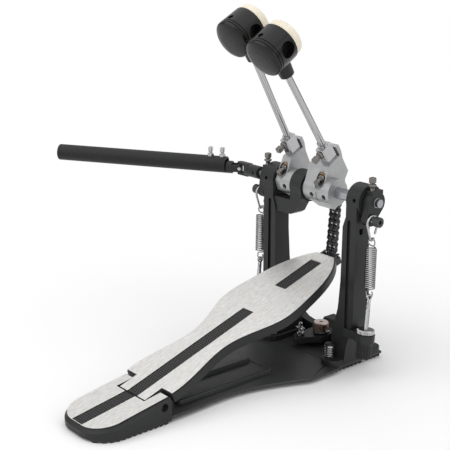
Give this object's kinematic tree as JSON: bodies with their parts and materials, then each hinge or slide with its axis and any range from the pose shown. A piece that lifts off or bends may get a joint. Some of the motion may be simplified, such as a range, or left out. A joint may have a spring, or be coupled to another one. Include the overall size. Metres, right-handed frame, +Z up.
{
  "type": "double bass drum pedal",
  "caption": "Double bass drum pedal, primary unit: hinged footboard, chain-driven hub, sprung felt beaters on hexagon axles, hoop clamp and a telescoping drive shaft on a universal joint.",
  "frame": {"origin": "on the floor below the axles, on the centre plane of the footboard", "axes": "+X to the player's right, +Y forward to the drum, +Z up"},
  "size_m": [0.4239, 0.3567, 0.3761],
  "materials": {
    "black_casting": "satin black powder coat on a casting",
    "black_steel": "satin black paint on pressed steel",
    "black_tube": "satin black paint",
    "black_plastic": "moulded, fine grain",
    "beater_plastic": "satin gloss",
    "brushed_plate": "brushed along its length",
    "grip_strip": "matt with fine dots",
    "rubber": "matt",
    "silver_casting": "bead blasted",
    "bright_steel": "polished plating",
    "zinc_steel": "drawn bar, plated",
    "spring_wire": "bright drawn wire",
    "chain_steel": "blackened, with bright pin ends",
    "bronze": "plain",
    "felt": "pressed wool felt"
  },
  "bodies": {
    "base": {"base_plate": "black_steel", "floor_pads": "rubber", "heel_block": "black_casting", "heel_plate": "brushed_plate", "heel_grip": "grip_strip", "hinge_pins": "zinc_steel", "right_post": "black_casting", "left_post": "black_casting", "centre_support": "black_casting", "front_bridge": "black_casting", "axle_bearings": "zinc_steel", "spring_rods": "bright_steel", "lock_nuts": "bright_steel", "spur_springs": "spring_wire"},
    "footboard": {"footboard_body": "black_casting", "footboard_plate": "brushed_plate", "grip_strips": "grip_strip", "toe_insert": "bright_steel", "hinge_bushes": "bronze", "chain_clip": "black_steel"},
    "main_axle": {"main_axle": "zinc_steel", "right_hub": "silver_casting", "right_rod_clamp": "silver_casting", "right_key_screws": "bright_steel", "right_rocker": "black_steel", "right_spring_bolt": "bright_steel", "chain_anchor": "chain_steel"},
    "slave_axle": {"slave_axle": "zinc_steel", "left_hub": "silver_casting", "left_rod_clamp": "silver_casting", "left_key_screws": "bright_steel", "left_rocker": "black_steel", "left_spring_bolt": "bright_steel", "inner_yoke": "black_tube"},
    "right_beater": {"right_beater_rod": "bright_steel", "right_beater_head": "beater_plastic", "right_beater_felt": "felt"},
    "left_beater": {"left_beater_rod": "bright_steel", "left_beater_head": "beater_plastic", "left_beater_felt": "felt"},
    "chain_link_1": {"chain_link_1": "chain_steel"},
    "chain_link_2": {"chain_link_2": "chain_steel"},
    "chain_link_3": {"chain_link_3": "chain_steel"},
    "chain_link_4": {"chain_link_4": "chain_steel"},
    "chain_run": {"chain_run": "chain_steel"},
    "right_spring": {"right_spring": "spring_wire"},
    "right_stirrup": {"right_stirrup": "bright_steel"},
    "left_spring": {"left_spring": "spring_wire"},
    "left_stirrup": {"left_stirrup": "bright_steel"},
    "joint_cross": {"joint_cross": "bright_steel"},
    "outer_yoke": {"outer_yoke": "black_tube"},
    "drive_tube": {"drive_tube": "black_tube", "tube_screws": "bright_steel"},
    "clamp_lever": {"clamp_lever": "black_steel"},
    "clamp_knob": {"clamp_knob": "bright_steel"},
    "clamp_screw": {"clamp_screw": "bright_steel"},
    "right_spur": {"right_spur": "black_steel"},
    "left_spur": {"left_spur": "black_steel"},
    "right_tension_nut": {"right_tension_nut": "black_plastic"},
    "left_tension_nut": {"left_tension_nut": "black_plastic"}
  },
  "joints": [
    {"name": "footboard_hinge", "type": "hinge", "parent": "base", "child": "footboard", "pos_m": [0, -0.2357, 0.0178], "axis": [-1, 0, 0], "range_deg": [0, 5.4]},
    {"name": "main_axle_turn", "type": "hinge", "parent": "base", "child": "main_axle", "pos_m": [0, 0, 0.185], "axis": [-1, 0, 0], "range_deg": [0, 51.54], "stiffness_Nm_per_rad": 1.5, "springref_deg": -20.05},
    {"name": "slave_axle_turn", "type": "hinge", "parent": "base", "child": "slave_axle", "pos_m": [0, 0, 0.185], "axis": [-1, 0, 0], "range_deg": [0, 51.52], "stiffness_Nm_per_rad": 1.5, "springref_deg": -20.05},
    {"name": "right_beater_height", "type": "slide", "parent": "main_axle", "child": "right_beater", "axis": [0, -0.5592, 0.829], "range_m": [0, 0.012]},
    {"name": "left_beater_height", "type": "slide", "parent": "slave_axle", "child": "left_beater", "axis": [0, -0.4848, 0.8746], "range_m": [0, 0.012]},
    {"name": "chain_turn_1", "type": "hinge", "parent": "main_axle", "child": "chain_link_1", "pos_m": [0, 0.01758, 0.20549], "axis": [1, 0, 0], "range_deg": [0, 9.48]},
    {"name": "chain_turn_2", "type": "hinge", "parent": "chain_link_1", "child": "chain_link_2", "pos_m": [0, 0.02188, 0.20082], "axis": [1, 0, 0], "range_deg": [0, 13.53]},
    {"name": "chain_turn_3", "type": "hinge", "parent": "chain_link_2", "child": "chain_link_3", "pos_m": [0, 0.02497, 0.19527], "axis": [1, 0, 0], "range_deg": [0, 13.53]},
    {"name": "chain_turn_4", "type": "hinge", "parent": "chain_link_3", "child": "chain_link_4", "pos_m": [0, 0.02668, 0.18916], "axis": [1, 0, 0], "range_deg": [0, 13.53]},
    {"name": "chain_turn_5", "type": "hinge", "parent": "chain_link_4", "child": "chain_run", "pos_m": [0, 0.02691, 0.18281], "axis": [1, 0, 0], "range_deg": [0, 6.78]},
    {"name": "joint_cross_turn", "type": "hinge", "parent": "slave_axle", "child": "joint_cross", "pos_m": [-0.127, 0, 0.185], "axis": [0, 0, 1], "range_deg": [-10.5, 0]},
    {"name": "outer_yoke_turn", "type": "hinge", "parent": "joint_cross", "child": "outer_yoke", "pos_m": [-0.127, 0, 0.185], "axis": [0.5075, -0.8616, 0], "range_deg": [0, 23.6]},
    {"name": "drive_tube_slide", "type": "slide", "parent": "outer_yoke", "child": "drive_tube", "axis": [-0.8616, -0.5075, 0], "range_m": [0, 0.04]},
    {"name": "clamp_lever_turn", "type": "hinge", "parent": "base", "child": "clamp_lever", "pos_m": [0, 0.022, 0.0165], "axis": [-1, 0, 0], "range_deg": [0, 6]},
    {"name": "clamp_knob_turn", "type": "hinge", "parent": "clamp_lever", "child": "clamp_knob", "pos_m": [0, 0.0075, 0.02], "axis": [0, 0, 1], "continuous": true},
    {"name": "clamp_screw_turn", "type": "hinge", "parent": "clamp_lever", "child": "clamp_screw", "pos_m": [-0.012, -0.012, 0.02], "axis": [0, 0, 1], "continuous": true},
    {"name": "right_spring_swing", "type": "hinge", "parent": "base", "child": "right_spring", "pos_m": [0.083, -0.0086, 0.0875], "axis": [1, 0, 0], "range_deg": [0, 6.45]},
    {"name": "right_spring_stretch", "type": "slide", "parent": "right_spring", "child": "right_stirrup", "axis": [0, 0.0144, 0.9999], "range_m": [0, 0.01262], "deforming": ["right_spring"]},
    {"name": "right_spur_turn", "type": "hinge", "parent": "base", "child": "right_spur", "pos_m": [0.044, -0.024, 0.02], "axis": [0, 0, 1], "continuous": true},
    {"name": "right_tension_nut_turn", "type": "hinge", "parent": "base", "child": "right_tension_nut", "pos_m": [0.083, -0.0122, 0.0443], "axis": [0, 0.083, 0.9966], "continuous": true},
    {"name": "left_spring_swing", "type": "hinge", "parent": "base", "child": "left_spring", "pos_m": [-0.083, -0.0086, 0.0875], "axis": [1, 0, 0], "range_deg": [0, 6.45]},
    {"name": "left_spring_stretch", "type": "slide", "parent": "left_spring", "child": "left_stirrup", "axis": [0, 0.0144, 0.9999], "range_m": [0, 0.01262], "deforming": ["left_spring"]},
    {"name": "left_spur_turn", "type": "hinge", "parent": "base", "child": "left_spur", "pos_m": [-0.044, -0.024, 0.02], "axis": [0, 0, 1], "continuous": true},
    {"name": "left_tension_nut_turn", "type": "hinge", "parent": "base", "child": "left_tension_nut", "pos_m": [-0.083, -0.0122, 0.0443], "axis": [0, 0.083, 0.9966], "continuous": true}
  ],
  "couplings": [
    {"joint": "main_axle_turn", "follows": "footboard_hinge", "ratio": 9.5407},
    {"joint": "chain_turn_1", "follows": "footboard_hinge", "ratio": 1.752},
    {"joint": "chain_turn_2", "follows": "footboard_hinge", "ratio": 2.501},
    {"joint": "chain_turn_3", "follows": "footboard_hinge", "ratio": 2.501},
    {"joint": "chain_turn_4", "follows": "footboard_hinge", "ratio": 2.501},
    {"joint": "chain_turn_5", "follows": "footboard_hinge", "ratio": 1.251},
    {"joint": "joint_cross_turn", "follows": "slave_axle_turn", "ratio": -0.20129},
    {"joint": "outer_yoke_turn", "follows": "slave_axle_turn", "ratio": 0.45439},
    {"joint": "right_spring_swing", "follows": "footboard_hinge", "ratio": 1.1899},
    {"joint": "right_spring_stretch", "follows": "footboard_hinge", "m_per_rad": 0.13348},
    {"joint": "left_spring_swing", "follows": "slave_axle_turn", "ratio": 0.12471},
    {"joint": "left_spring_stretch", "follows": "slave_axle_turn", "m_per_rad": 0.01399}
  ]
}
